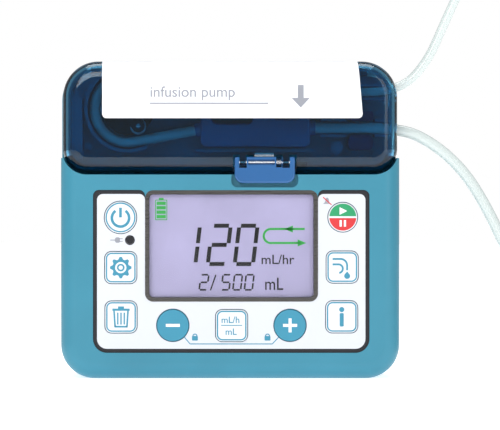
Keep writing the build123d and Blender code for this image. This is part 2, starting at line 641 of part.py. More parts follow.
with BuildPart() as panel_surround:
    extrude(panel_face(facing_front(PANEL_FLOOR_Y), PANEL_GAP), amount=1.0)
    extrude(panel_face(facing_front(-18)), amount=5, mode=Mode.SUBTRACT)
    box_at(LCD_LEFT, LCD_RIGHT, -22, -18, LCD_TOP - 5, LCD_TOP + 3, mode=Mode.SUBTRACT)
save(panel_surround, "panel_surround")

STEM_R = 1.6
STEM_BACK_Y = -17.2


def finish_key(key, x, z, label):
    """Soften a key cap's front, add its stem and save it."""
    with key:
        fillet(key.faces().sort_by(Axis.Y)[0].edges(), 0.35)
        post_at([(x, z)], STEM_R, KEY_BACK_Y - 0.1, STEM_BACK_Y)
    save(key, label)


for label, (x, z, radius) in ROUND_KEYS.items():
    with BuildPart() as round_key:
        post_at([(x, z)], radius, KEY_FRONT_Y, KEY_BACK_Y)
    finish_key(round_key, x, z, label)

for label, (x, z) in SQUARE_KEYS.items():
    with BuildPart() as square_key:
        with BuildSketch(facing_front(KEY_BACK_Y)) as cap:
            with Locations((x, z)):
                RectangleRounded(KEY_SIDE, KEY_SIDE, KEY_CORNER_R)
        extrude(cap.sketch, amount=KEY_BACK_Y - KEY_FRONT_Y)
    finish_key(square_key, x, z, label)

with BuildPart() as status_lamp:
    post_at([(LAMP_X, LAMP_Z)], LAMP_R, -20.9, PANEL_FLOOR_Y)
    fillet(status_lamp.faces().sort_by(Axis.Y)[0].edges(), 0.5)
    post_at([(LAMP_X, LAMP_Z)], 1.0, PANEL_FLOOR_Y, -16.4)
save(status_lamp, "status_lamp")

# ---- Display: bezel, window and module ----
BEZEL_FRONT_Y = -20.9
LENS_BACK_Y = -18.6
MODULE_BACK_Y = -14.6

with BuildPart() as lcd_bezel:
    extrude(lcd_face(facing_front(PANEL_FLOOR_Y)), amount=PANEL_FLOOR_Y - BEZEL_FRONT_Y)
    extrude(lcd_face(facing_front(-16.0), 0.6, 2.4), amount=4.0)
    extrude(lcd_face(facing_front(-15), LCD_RIM, 1.6), amount=8, mode=Mode.SUBTRACT)
save(lcd_bezel, "lcd_bezel")

with BuildPart() as lcd_window:
    extrude(lcd_face(facing_front(LENS_BACK_Y), LCD_RIM, 1.6), amount=1.0)
save(lcd_window, "lcd_window")

with BuildPart() as lcd_module:
    extrude(lcd_face(facing_front(MODULE_BACK_Y), LCD_RIM + 0.1, 1.5), amount=3.9)
save(lcd_module, "lcd_module")

# ---- Electronics: keypad board with domes, main board, speaker and socket ----
KEY_BOARD_FRONT_Y = -15.6
KEY_BOARD_BACK_Y = -14.4

with BuildPart() as keypad_board:
    box_at(-49.5, 49.5, KEY_BOARD_FRONT_Y, KEY_BOARD_BACK_Y, 12.0, 67.5)
    box_at(LCD_LEFT - 1, LCD_RIGHT + 1, -17, -13, 27.5, 75, mode=Mode.SUBTRACT)
    post_at(key_points(), 2.6, -16.4, KEY_BOARD_FRONT_Y)
save(keypad_board, "keypad_board")

BOARD_FRONT_Y = 2.6
BOARD_BACK_Y = 4.2
CHIPS = [
    (-26.0, 50.0, 14.0, 14.0, 1.6),
    (6.0, 52.0, 10.0, 6.0, 1.4),
    (24.0, 40.0, 9.0, 9.0, 2.2),
    (-8.0, 30.0, 16.0, 5.0, 2.6),
    (34.0, 60.0, 6.0, 6.0, 3.0),
]

with BuildPart() as main_board:
    box_at(-46.5, 46.5, BOARD_FRONT_Y, BOARD_BACK_Y, 18.0, 70.0)
    post_at([(-43, 21), (43, 21), (-43, 67), (43, 67)], 1.4, 1, 6, mode=Mode.SUBTRACT)
    for chip_x, chip_z, width, height, thick in CHIPS:
        box_at(chip_x - width / 2, chip_x + width / 2, BOARD_FRONT_Y - thick, BOARD_FRONT_Y,
               chip_z - height / 2, chip_z + height / 2)
save(main_board, "main_board")

with BuildPart() as speaker:
    post_at([(SPEAKER_X, SPEAKER_Z)], 7.6, 15.0, BACK_Y - WALL)
    post_at([(SPEAKER_X, SPEAKER_Z)], 6.2, 17.4, 20, mode=Mode.SUBTRACT)
    post_at([(SPEAKER_X, SPEAKER_Z)], 4.0, 12.6, 15.0)
save(speaker, "speaker")

SOCKET_BORE_R = 2.75
SOCKET_FACE_X = 62.6

with BuildPart() as power_socket:
    rod_x(50.0, SOCKET_FACE_X, SOCKET_Y, SOCKET_Z, SOCKET_R - 0.1)
    rod_x(53.0, SOCKET_FACE_X + 1, SOCKET_Y, SOCKET_Z, SOCKET_BORE_R, mode=Mode.SUBTRACT)
    rod_x(52.0, 61.0, SOCKET_Y, SOCKET_Z, 1.0)
    box_at(49.0, 55.0, SOCKET_Y - 4, SOCKET_Y - 3, SOCKET_Z - 3, SOCKET_Z + 3)
save(power_socket, "power_socket")

# ---- Battery: pack, contacts and cover ----
COVER_GAP = 0.25

with BuildPart() as battery_pack:
    box_at(-28.0, 28.0, 9.4, 18.4, 17.0, 59.0)
    fillet(battery_pack.edges().filter_by(Axis.Z), 2.0)
save(battery_pack, "battery_pack")

with BuildPart() as battery_contacts:
    for contact_x in (-9.0, -3.0, 3.0, 9.0):
        box_at(contact_x - 1.0, contact_x + 1.0, 7.8, 9.2, 50.0, 56.0)
save(battery_contacts, "battery_contacts")

with BuildPart() as battery_cover:
    cover_half = BAY_HALF_W - COVER_GAP
    box_at(-cover_half, cover_half, 18.7, BACK_Y, BAY_BOTTOM + COVER_GAP, BAY_TOP - COVER_GAP)
    for grip in range(5):
        with BuildSketch(facing_front(BACK_Y - 0.6)) as grip_line:
            with Locations((0, 52.0 - 2.2 * grip)):
                SlotOverall(22, 1.0)
        extrude(grip_line.sketch, amount=-2, mode=Mode.SUBTRACT)
save(battery_cover, "battery_cover")

# ---- Fixings ----
with BuildPart() as pole_insert:
    post_at([(INSERT_X, INSERT_Z)], INSERT_R, 12.5, BACK_Y)
    post_at([(INSERT_X, INSERT_Z)], INSERT_BORE_R, 12, 22, mode=Mode.SUBTRACT)
save(pole_insert, "pole_insert")

with BuildPart() as screws:
    post_at(SCREW_POINTS, SCREW_R, -9.0, BACK_Y - 5.0)
    post_at(DECK_SCREW_POINTS, SCREW_R, -3.2, BACK_Y - 5.0)
    post_at(all_screws, 2.4, BACK_Y - 5.0, BACK_Y - 3.2)
    post_at(all_screws, 0.9, BACK_Y - 4.2, BACK_Y - 3, mode=Mode.SUBTRACT)
    post_at(BRACKET_POSTS, 0.8, 5.0, 10.6)
    post_at(BRACKET_POSTS, 1.6, 10.6, 11.8)
save(screws, "screws")

# ---- Giving set inside the pump: pumping loop, cassette and channel stretches ----
PORT_X = -13.0
port_run = PORT_X - ROTOR_X
port_reach = hypot(port_run, PORT_RISE)
tangent_angle = atan2(PORT_RISE, port_run) + acos(LOOP_R / port_reach)
tangent_x = ROTOR_X + LOOP_R * cos(tangent_angle)
tangent_rise = LOOP_R * sin(tangent_angle)

with BuildPart() as pump_tube:
    with BuildLine(facing_front(TUBE_Y)) as loop:
        Line((PORT_X, ROTOR_Z + PORT_RISE), (tangent_x, ROTOR_Z + tangent_rise))
        ThreePointArc((tangent_x, ROTOR_Z + tangent_rise), (ROTOR_X - LOOP_R, ROTOR_Z),
                      (tangent_x, ROTOR_Z - tangent_rise))
        Line((tangent_x, ROTOR_Z - tangent_rise), (PORT_X, ROTOR_Z - PORT_RISE))
    with BuildSketch(Plane(origin=loop.line @ 0, z_dir=loop.line % 0)):
        Circle(PUMP_TUBE_R)
        Circle(PUMP_TUBE_BORE_R, mode=Mode.SUBTRACT)
    sweep()
save(pump_tube, "pump_tube")

CASSETTE_BOTTOM = 86.2
CASSETTE_TOP = 111.4
CASSETTE_FRONT_Y = -11.4
CASSETTE_BACK_Y = -4.6

with BuildPart() as cassette_body:
    middle_x = (CASSETTE_LEFT + CASSETTE_RIGHT) / 2
    middle_z = (CASSETTE_BOTTOM + CASSETTE_TOP) / 2
    with BuildSketch(facing_front(CASSETTE_BACK_Y)) as cassette_outline:
        with Locations((middle_x, middle_z)):
            RectangleRounded(CASSETTE_RIGHT - CASSETTE_LEFT, CASSETTE_TOP - CASSETTE_BOTTOM, 2.5)
        with Locations((middle_x - 8.6, middle_z + 0.4)):
            RectangleRounded(15.0, 8.4, 2.0, mode=Mode.SUBTRACT)
        with Locations((middle_x + 11.4, middle_z + 1.2)):
            RectangleRounded(11.0, 6.6, 2.0, mode=Mode.SUBTRACT)
    extrude(cassette_outline.sketch, amount=CASSETTE_BACK_Y - CASSETTE_FRONT_Y)
    fillet(cassette_body.faces().sort_by(Axis.Y)[0].edges(), 0.8)
    for side in (-1, 1):
        port = (PORT_X, TUBE_Y, ROTOR_Z + side * PORT_RISE)
        toward_loop = (tangent_x - PORT_X, 0, side * (tangent_rise - PORT_RISE))
        port_plane = Plane(origin=port, z_dir=toward_loop)
        for disc_r, depth, disc_mode in (
            (2.7, -4.0, Mode.ADD),
            (PUMP_TUBE_BORE_R - RUNNING_CLEARANCE, 3.0, Mode.ADD),
            (0.7, 3.0, Mode.SUBTRACT),
            (0.7, -6.0, Mode.SUBTRACT),
        ):
            with BuildSketch(port_plane) as port_disc:
                Circle(disc_r)
            extrude(port_disc.sketch, amount=depth, mode=disc_mode)
    for tube_z, tube_r in ((INLET_Z, INLET_R), (OUTLET_Z, OUTLET_R)):
        rod_x(CASSETTE_RIGHT - 1, CASSETTE_RIGHT + 2.0, TUBE_Y, tube_z, tube_r + 0.7)
        rod_x(CASSETTE_RIGHT - 6, CASSETTE_RIGHT + 3, TUBE_Y, tube_z, 0.8, mode=Mode.SUBTRACT)
save(cassette_body, "cassette_body")

CORD_START_X = 50.0
with BuildPart() as channel_tubes:
    for tube_z, tube_r in ((INLET_Z, INLET_R), (OUTLET_Z, OUTLET_R)):
        rod_x(CASSETTE_RIGHT + 2.0, CORD_START_X, TUBE_Y, tube_z, tube_r)
        rod_x(CASSETTE_RIGHT + 1.0, CORD_START_X + 1, TUBE_Y, tube_z, 0.9, mode=Mode.SUBTRACT)
save(channel_tubes, "channel_tubes")

# ---- Giving set outside the pump: two limp tubes, their coils and connectors ----
CONNECTOR_R = 4.0
COIL_PLAY = 0.3
INLET_COIL = (179.0, 0.0)
INLET_COIL_R = 18.7
INLET_COIL_TURNS = 3.25
INLET_PITCH = 3.5
OUTLET_COIL = (131.0, 0.0)
OUTLET_COIL_R = 23.2
OUTLET_INNER_R = 18.9
OUTLET_COLUMN_TURNS = 3.5
OUTLET_PITCH = 4.35

inlet_top = INLET_R + INLET_PITCH * INLET_COIL_TURNS
outlet_top = OUTLET_R + OUTLET_PITCH * OUTLET_COLUMN_TURNS

INLET_ROUTE = [
    (CORD_START_X, TUBE_Y, INLET_Z),
    (63.5, TUBE_Y, INLET_Z),
    (74.0, -8.5, 117.8),
    (80.6, -9.0, 133.0),
    (88.0, -8.0, 149.0),
    (101.0, -5.0, 161.0),
    (118.0, -1.0, 165.5),
    (134.0, 4.0, 160.0),
    (146.0, 9.0, 145.0),
    (152.5, 13.0, 124.0),
    (155.5, 16.0, 100.0),
    (157.0, 18.5, 76.0),
    (158.0, 20.5, 52.0),
    (158.8, 21.5, 31.5),
    (159.8, 14.5, 17.3),
    (INLET_COIL[0] - INLET_COIL_R, INLET_COIL[1], inlet_top),
]
OUTLET_ROUTE = [
    (CORD_START_X, TUBE_Y, OUTLET_Z),
    (64.5, TUBE_Y, OUTLET_Z),
    (76.5, -8.4, 87.6),
    (87.5, -9.5, 77.6),
    (95.5, -12.0, 64.5),
    (102.0, -15.5, 50.0),
    (109.0, -19.5, 36.5),
    (118.5, -22.4, 25.0),
    (OUTLET_COIL[0], OUTLET_COIL[1] - OUTLET_COIL_R, outlet_top),
]


def cord_radii(route):
    """Largest tangent arc that the two runs at each corner allow."""
    radii = []
    for before, corner, after in zip(route, route[1:], route[2:]):
        run_in = Vector(*corner) - Vector(*before)
        run_out = Vector(*after) - Vector(*corner)
        turn = radians(run_in.get_angle(run_out))
        radii.append(0.45 * min(run_in.length, run_out.length) / tan(turn / 2))
    return radii


def cord_tube(route, radius, label):
    """Sweep a plain round cord along its route and save it."""
    radii = cord_radii(route)
    with BuildPart() as tube:
        with BuildLine() as path:
            FilletPolyline(*route, radius=radii)
        with BuildSketch(Plane(origin=route[0], z_dir=path.line % 0)):
            Circle(radius)
        sweep()
    length = path.wires()[0].length
    expected = pi * radius ** 2 * length
    print(label, "length", round(length, 1), "volume ratio", round(tube.part.volume / expected, 4))
    print("  radii", [round(value, 1) for value in radii])
    save(tube, label)
    return tube.part


def lead_tube(start, end, radius, label):
    """Straight end of a cord from its coil to its connector."""
    length = (Vector(*end) - Vector(*start)).length
    with BuildPart() as lead:
        with BuildSketch(Plane(origin=start, z_dir=Vector(*end) - Vector(*start))):
            Circle(radius)
        extrude(amount=length)
    save(lead, label)
    return lead.part


def coil_ring(centre, inner_r, outer_r, height, cut_by, label):
    """Closed outer shape of a coil standing on the floor, cleared for its cord's ends."""
    with BuildPart() as ring:
        with BuildSketch(Plane.XY):
            with Locations(centre):
                Circle(outer_r + COIL_PLAY)
                Circle(inner_r - COIL_PLAY, mode=Mode.SUBTRACT)
        extrude(amount=height)
        for piece in cut_by:
            add(piece, mode=Mode.SUBTRACT)
    save(ring, label)


inlet_tube = cord_tube(INLET_ROUTE, INLET_R, "inlet_tube")
outlet_tube = cord_tube(OUTLET_ROUTE, OUTLET_R, "outlet_tube")

INLET_PLUG_X = 196.0
inlet_lead_start = (INLET_COIL[0], INLET_COIL[1] - INLET_COIL_R, INLET_R)
inlet_lead_end = (INLET_PLUG_X, inlet_lead_start[1], CONNECTOR_R)
inlet_lead = lead_tube(inlet_lead_start, inlet_lead_end, INLET_R, "inlet_lead")

OUTLET_PLUG_X = 143.0
OUTLET_PLUG_Y = -15.5
outlet_height = outlet_top + OUTLET_R
outlet_lead_start = (OUTLET_COIL[0], OUTLET_COIL[1] - OUTLET_INNER_R, outlet_top)
outlet_lead_end = (OUTLET_PLUG_X, OUTLET_PLUG_Y, outlet_height + CONNECTOR_R)
outlet_lead = lead_tube(outlet_lead_start, outlet_lead_end, OUTLET_R, "outlet_lead")

coil_ring(INLET_COIL, INLET_COIL_R - INLET_R, INLET_COIL_R + INLET_R, inlet_top + INLET_R,
          (inlet_tube, inlet_lead), "inlet_coil")
coil_ring(OUTLET_COIL, OUTLET_INNER_R - OUTLET_R, OUTLET_COIL_R + OUTLET_R, outlet_height,
          (outlet_tube, outlet_lead), "outlet_coil")


def connector(lead_end, profile, label, cut_by):
    """Turned connector along +X from (distance, radius) pairs, cleared for its tube."""
    with BuildPart() as body:
        with BuildSketch(Plane(origin=lead_end, x_dir=(1, 0, 0), z_dir=(0, -1, 0))):
            with BuildLine():
                Polyline((profile[0][0], 0), *profile, (profile[-1][0], 0), close=True)
            make_face()
        revolve(axis=Axis(lead_end, (1, 0, 0)))
        add(cut_by, mode=Mode.SUBTRACT)
    save(body, label)


SPIKE_PROFILE = [(-2.0, 2.6), (6.0, 2.9), (6.0, CONNECTOR_R), (7.6, CONNECTOR_R), (7.6, 2.4), (21.0, 1.7),
                 (25.0, 0.4)]
END_PROFILE = [(-1.0, 3.0), (5.0, 3.3), (5.0, CONNECTOR_R), (13.0, CONNECTOR_R), (13.0, 2.8), (15.0, 2.8),
               (15.0, 3.6), (22.0, 3.4)]
connector(inlet_lead_end, SPIKE_PROFILE, "bag_spike", inlet_lead)
connector(outlet_lead_end, END_PROFILE, "end_connector", outlet_lead)
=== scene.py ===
import json
import math

import bpy
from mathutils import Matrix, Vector


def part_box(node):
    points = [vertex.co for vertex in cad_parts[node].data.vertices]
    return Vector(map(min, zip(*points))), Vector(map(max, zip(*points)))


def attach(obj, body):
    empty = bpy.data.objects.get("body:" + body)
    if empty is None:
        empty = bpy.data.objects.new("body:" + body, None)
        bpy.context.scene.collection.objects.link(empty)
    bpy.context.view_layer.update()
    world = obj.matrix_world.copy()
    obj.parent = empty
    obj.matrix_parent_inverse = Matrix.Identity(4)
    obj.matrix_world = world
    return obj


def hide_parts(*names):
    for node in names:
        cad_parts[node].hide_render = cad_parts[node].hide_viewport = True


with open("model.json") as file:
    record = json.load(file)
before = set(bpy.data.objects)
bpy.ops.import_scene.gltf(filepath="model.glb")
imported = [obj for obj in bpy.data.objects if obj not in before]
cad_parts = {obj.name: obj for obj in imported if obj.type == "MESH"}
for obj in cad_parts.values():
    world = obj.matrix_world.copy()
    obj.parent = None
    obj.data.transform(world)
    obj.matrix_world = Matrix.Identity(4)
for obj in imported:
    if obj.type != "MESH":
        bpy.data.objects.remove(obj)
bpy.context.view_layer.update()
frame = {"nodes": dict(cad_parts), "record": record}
MM = 0.001
NODES = frame["nodes"]
SLOT_OF = {part["node"]: part["material_slot"] for part in frame["record"]["subparts"]}


# ---- Materials ----
def new_material(name):
    """Empty node material and its Principled shader."""
    material = bpy.data.materials.new(name)
    material.use_nodes = True
    return material, material.node_tree.nodes["Principled BSDF"]


def noise(tree, scale, detail=4.0):
    """Object-space noise, so that the grain stays with the piece."""
    coords = tree.nodes.new("ShaderNodeTexCoord")
    texture = tree.nodes.new("ShaderNodeTexNoise")
    texture.inputs["Scale"].default_value = scale
    texture.inputs["Detail"].default_value = detail
    tree.links.new(coords.outputs["Object"], texture.inputs["Vector"])
    return texture


def mapped(tree, source, low, high):
    """Spread a texture's mid-range over low to high."""
    ramp = tree.nodes.new("ShaderNodeMapRange")
    ramp.inputs["From Min"].default_value = 0.3
    ramp.inputs["From Max"].default_value = 0.7
    ramp.inputs["To Min"].default_value = low
    ramp.inputs["To Max"].default_value = high
    tree.links.new(source, ramp.inputs["Value"])
    return ramp.outputs["Result"]


def surface(name, color, rough, grain=2500.0, bump=0.04, metal=0.0, tint=0.06, coat=0.0,
            clear=0.0, ior=1.46, glow=0.0, soft=0.0):
    """Shader with a fine moulded grain, slight colour drift and uneven gloss."""
    material, shader = new_material(name)
    tree = material.node_tree
    fine = noise(tree, grain, 3.0)
    broad = noise(tree, 38.0, 4.0)
    ramp = tree.nodes.new("ShaderNodeValToRGB")
    dark = [max(0.0, c * (1 - tint)) for c in color]
    light = [min(1.0, c * (1 + tint)) for c in color]
    ramp.color_ramp.elements[0].position = 0.3
    ramp.color_ramp.elements[1].position = 0.7
    ramp.color_ramp.elements[0].color = (*dark, 1)
    ramp.color_ramp.elements[1].color = (*light, 1)
    tree.links.new(broad.outputs["Fac"], ramp.inputs["Fac"])
    tree.links.new(ramp.outputs["Color"], shader.inputs["Base Color"])
    rough_out = mapped(tree, fine.outputs["Fac"], rough * 0.88, min(1.0, rough * 1.12))
    tree.links.new(rough_out, shader.inputs["Roughness"])
    relief = tree.nodes.new("ShaderNodeBump")
    relief.inputs["Strength"].default_value = bump
    relief.inputs["Distance"].default_value = 0.00004
    tree.links.new(fine.outputs["Fac"], relief.inputs["Height"])
    tree.links.new(relief.outputs["Normal"], shader.inputs["Normal"])
    shader.inputs["Metallic"].default_value = metal
    shader.inputs["IOR"].default_value = ior
    shader.inputs["Coat Weight"].default_value = coat
    shader.inputs["Transmission Weight"].default_value = clear
    if soft:
        shader.inputs["Subsurface Weight"].default_value = soft
        shader.inputs["Subsurface Radius"].default_value = (0.004, 0.004, 0.004)
        shader.inputs["Subsurface Scale"].default_value = 0.4
    if glow:
        tree.links.new(ramp.outputs["Color"], shader.inputs["Emission Color"])
        shader.inputs["Emission Strength"].default_value = glow
    return material


def brushed(name, color, rough, axis=0):
    """Metal with fine streaks along one axis."""
    material, shader = new_material(name)
    tree = material.node_tree
    coords = tree.nodes.new("ShaderNodeTexCoord")
    stretch = tree.nodes.new("ShaderNodeMapping")
    scale = [3000.0, 3000.0, 3000.0]
    scale[axis] = 120.0
    stretch.inputs["Scale"].default_value = scale
    streaks = tree.nodes.new("ShaderNodeTexNoise")
    streaks.inputs["Scale"].default_value = 1.0
    tree.links.new(coords.outputs["Object"], stretch.inputs["Vector"])
    tree.links.new(stretch.outputs["Vector"], streaks.inputs["Vector"])
    rough_out = mapped(tree, streaks.outputs["Fac"], rough * 0.7, rough * 1.3)
    tree.links.new(rough_out, shader.inputs["Roughness"])
    ramp = tree.nodes.new("ShaderNodeValToRGB")
    ramp.color_ramp.elements[0].color = (*[c * 0.88 for c in color], 1)
    ramp.color_ramp.elements[1].color = (*color, 1)
    tree.links.new(streaks.outputs["Fac"], ramp.inputs["Fac"])
    tree.links.new(ramp.outputs["Color"], shader.inputs["Base Color"])
    shader.inputs["Metallic"].default_value = 1.0
    return material


CYAN = (0.040, 0.255, 0.375)
LCD_INK = (0.002, 0.002, 0.003)
MATERIALS = {
    "case_teal": surface("case_teal", (0.034, 0.225, 0.320), 0.40, 3200, 0.10, tint=0.05, coat=0.08),
    "door_clear": surface("door_clear", (0.10, 0.36, 0.56), 0.03, 300, 0.02, clear=1.0, ior=1.40, tint=0.02,
                          coat=0.1),
    "film_white": surface("film_white", (0.86, 0.87, 0.90), 0.36, 2600, 0.03, tint=0.012),
    "latch_blue": surface("latch_blue", (0.020, 0.110, 0.300), 0.22, 1500, 0.03, coat=0.3),
    "deck_navy": surface("deck_navy", (0.030, 0.230, 0.340), 0.24, 2200, 0.05, tint=0.08),
    "sensor_violet": surface("sensor_violet", (0.050, 0.030, 0.130), 0.40, 2200, 0.08),
    "steel": brushed("steel", (0.72, 0.73, 0.75), 0.25),
    "spring_steel": brushed("spring_steel", (0.55, 0.55, 0.57), 0.3, 1),
    "bronze": surface("bronze", (0.55, 0.34, 0.14), 0.38, 1800, 0.15, metal=1.0, tint=0.12),
    "rotor_dark": surface("rotor_dark", (0.004, 0.006, 0.016), 0.16, 1800, 0.04, coat=0.4),
    "roller_grey": surface("roller_grey", (0.50, 0.53, 0.57), 0.35, 2000, 0.06),
    "gear_white": surface("gear_white", (0.80, 0.78, 0.70), 0.42, 2000, 0.08),
    "motor_can": brushed("motor_can", (0.60, 0.60, 0.62), 0.32, 1),
    "board_green": surface("board_green", (0.012, 0.110, 0.045), 0.38, 900, 0.20, tint=0.25),
    "panel_white": surface("panel_white", (0.66, 0.68, 0.73), 0.42, 2600, 0.05, tint=0.012),
    # surround_black: near-black ring filling the gap around the key panel; its black is painted shade standing
    # in for the shadow of a deep gap
    "surround_black": surface("surround_black", (0.010, 0.010, 0.014), 0.50, 1800, 0.12),
    "key_white": surface("key_white", (0.73, 0.75, 0.79), 0.40, 2600, 0.05, tint=0.012),
    "key_cyan": surface("key_cyan", CYAN, 0.38, 2600, 0.05, tint=0.05),
    "key_start": surface("key_start", (0.73, 0.75, 0.79), 0.40, 2600, 0.05, tint=0.012),
    "lcd_metal": brushed("lcd_metal", (0.11, 0.105, 0.10), 0.30),
    "lcd_glass": surface("lcd_glass", (1.0, 1.0, 1.0), 0.02, 300, 0.01, clear=1.0, ior=1.12, tint=0.0),
    "lcd_lilac": surface("lcd_lilac", (0.37, 0.345, 0.53), 0.45, 1400, 0.04, glow=0.16, tint=0.09),
    "lamp_dark": surface("lamp_dark", (0.012, 0.012, 0.016), 0.15, 900, 0.03, coat=0.5),
    "black_plastic": surface("black_plastic", (0.012, 0.012, 0.014), 0.45, 2000, 0.12),
    "battery_wrap": surface("battery_wrap", (0.020, 0.045, 0.110), 0.28, 900, 0.12, tint=0.1),
    "contact_gold": surface("contact_gold", (0.85, 0.60, 0.22), 0.22, 900, 0.08, metal=1.0),
    "insert_brass": surface("insert_brass", (0.72, 0.52, 0.22), 0.28, 1200, 0.12, metal=1.0),
    "seal_rubber": surface("seal_rubber", (0.015, 0.015, 0.016), 0.65, 1600, 0.15),
    "tube_silicone": surface("tube_silicone", (0.62, 0.68, 0.66), 0.20, 500, 0.03, tint=0.03, coat=0.4,
                             soft=0.15),
    "cassette_clear": surface("cassette_clear", (0.045, 0.215, 0.420), 0.16, 900, 0.05, coat=0.4),
    "connector_violet": surface("connector_violet", (0.17, 0.08, 0.32), 0.34, 1800, 0.08),
}
for node_name, node in NODES.items():
    node.data.materials.clear()
    node.data.materials.append(MATERIALS[SLOT_OF[node_name]])

INK = {
    "ink_cyan": surface("ink_cyan", CYAN, 0.45, 2600, 0.03),
    "ink_white": surface("ink_white", (0.85, 0.87, 0.90), 0.42, 2600, 0.03, tint=0.01),
    "ink_mid": surface("ink_mid", (0.300, 0.310, 0.350), 0.45, 2600, 0.03),
    "ink_red": surface("ink_red", (0.620, 0.030, 0.035), 0.42, 2600, 0.03),
    "ink_start": surface("ink_start", (0.020, 0.300, 0.120), 0.42, 2600, 0.03),
    "lcd_black": surface("lcd_black", LCD_INK, 0.5, 2000, 0.02),
    "lcd_green": surface("lcd_green", (0.030, 0.350, 0.060), 0.5, 2000, 0.02, glow=0.15),
}


# ---- Flat shapes, as loops of (x, z) points in millimetres ----
def circle(x, z, radius, steps=48):
    return [(x + radius * math.cos(2 * math.pi * i / steps), z + radius * math.sin(2 * math.pi * i / steps))
            for i in range(steps)]


def ring(x, z, outer, inner):
    return [circle(x, z, outer), circle(x, z, inner)[::-1]]


def rounded(x, z, width, height, radius, steps=8):
    points = []
    for corner, (sx, sz) in enumerate(((1, 1), (-1, 1), (-1, -1), (1, -1))):
        cx = x + sx * (width / 2 - radius)
        cz = z + sz * (height / 2 - radius)
        for i in range(steps + 1):
            angle = math.radians(90 * corner + 90 * i / steps)
            points.append((cx + radius * math.cos(angle), cz + radius * math.sin(angle)))
    return points


def frame_loop(x, z, side, radius, line):
    inside = side - 2 * line
    return [rounded(x, z, side, side, radius), rounded(x, z, inside, inside, radius - line)[::-1]]


def bar(x0, z0, x1, z1, width):
    """Straight stroke with square ends."""
    length = math.hypot(x1 - x0, z1 - z0)
    ax = (x1 - x0) / length * width / 2
    az = (z1 - z0) / length * width / 2
    return [(x0 - az, z0 + ax), (x0 + az, z0 - ax), (x1 + az, z1 - ax), (x1 - az, z1 + ax)]


def arc_band(x, z, radius, width, start, end, steps=28):
    """Stroke along an arc from start to end, in degrees."""
    angles = [math.radians(start + (end - start) * i / steps) for i in range(steps + 1)]
    outer = [(x + (radius + width / 2) * math.cos(a), z + (radius + width / 2) * math.sin(a)) for a in angles]
    inner = [(x + (radius - width / 2) * math.cos(a), z + (radius - width / 2) * math.sin(a)) for a in angles]
    return outer + inner[::-1]


def face_front(thing, y):
    """Stand a flat object up in the XZ plane at depth y, facing the front."""
    thing.rotation_euler = (math.pi / 2, 0, 0)
    thing.location = (0, y, 0)


def printed(name, loops, ink, y, body, thick=0.03):
    """Thin raised print from closed loops, fixed to a body."""
    curve = bpy.data.curves.new(name, "CURVE")
    curve.dimensions = "2D"
    curve.fill_mode = "BOTH"
    curve.extrude = thick * MM
    for loop in loops:
        spline = curve.splines.new("POLY")
        spline.points.add(len(loop) - 1)
        for point, (x, z) in zip(spline.points, loop):
            point.co = (x * MM, z * MM, 0, 1)
        spline.use_cyclic_u = True
    thing = bpy.data.objects.new(name, curve)
    bpy.context.scene.collection.objects.link(thing)
    curve.materials.append(INK[ink])
    face_front(thing, y)
    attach(thing, body)
    return thing


def lettering(name, words, x, z, size, ink, y, body, shear=0.0, thick=0.03, width=1.0):
    """Raised text with its left foot at (x, z)."""
    text = bpy.data.curves.new(name, "FONT")
    text.body = words
    text.size = size * MM
    text.shear = shear
    text.extrude = thick * MM
    text.offset = 0.00003
    text.materials.append(INK[ink])
    thing = bpy.data.objects.new(name, text)
    bpy.context.scene.collection.objects.link(thing)
    face_front(thing, y)
    thing.location = (x * MM, y, z * MM)
    thing.scale = (width, 1, 1)
    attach(thing, body)
    return thing


# ---- Door film: one plain line of words over a thin rule, and a press arrow ----
FILM_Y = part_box("door_film")[0].y - 0.00001
lettering("film_words", "infusion pump", -30.0, 104.6, 5.6, "ink_mid", FILM_Y, "door")
printed("film_rule", [bar(-30.0, 102.2, 14.0, 102.2, 0.5)], "ink_mid", FILM_Y, "door")
printed("film_arrow", [[(26.0, 100.6), (29.4, 104.2), (27.1, 104.2), (27.1, 109.0), (24.9, 109.0),
                        (24.9, 104.2), (22.6, 104.2)]], "ink_mid", FILM_Y, "door")

# ---- Keys ----
KEY_CENTRES = {name: (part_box(name)[0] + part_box(name)[1]) / 2 / MM for name in NODES if name.endswith("_key")}
KEY_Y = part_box("power_key")[0].y - 0.00001
LINE = 0.5


def key_print(key, label, loops, ink, lift=0.0):
    return printed(f"{key}_{label}", loops, ink, KEY_Y - lift, key)


for key in ("settings_key", "bin_key", "unit_key", "fill_key", "info_key"):
    centre = KEY_CENTRES[key]
    key_print(key, "outline", frame_loop(centre.x, centre.z, 11.0, 2.1, LINE), "ink_cyan")

at = KEY_CENTRES["power_key"]
key_print("power_key", "outline", ring(at.x, at.z, 5.55, 5.05), "ink_cyan")
key_print("power_key", "arc", [arc_band(at.x, at.z - 0.2, 3.2, 1.0, 125, 415)], "ink_cyan")
key_print("power_key", "stem", [bar(at.x, at.z, at.x, at.z + 3.6, 1.0)], "ink_cyan")

at = KEY_CENTRES["settings_key"]
teeth = []
for step in range(32):
    reach = 4.0 if step % 4 in (1, 2) else 3.1
    angle = 2 * math.pi * (step - 1.5) / 32
    teeth.append((at.x + reach * math.cos(angle), at.z + reach * math.sin(angle)))
key_print("settings_key", "gear", [teeth, circle(at.x, at.z, 2.1)[::-1]], "ink_cyan")
key_print("settings_key", "hub", ring(at.x, at.z, 1.4, 0.8), "ink_cyan")

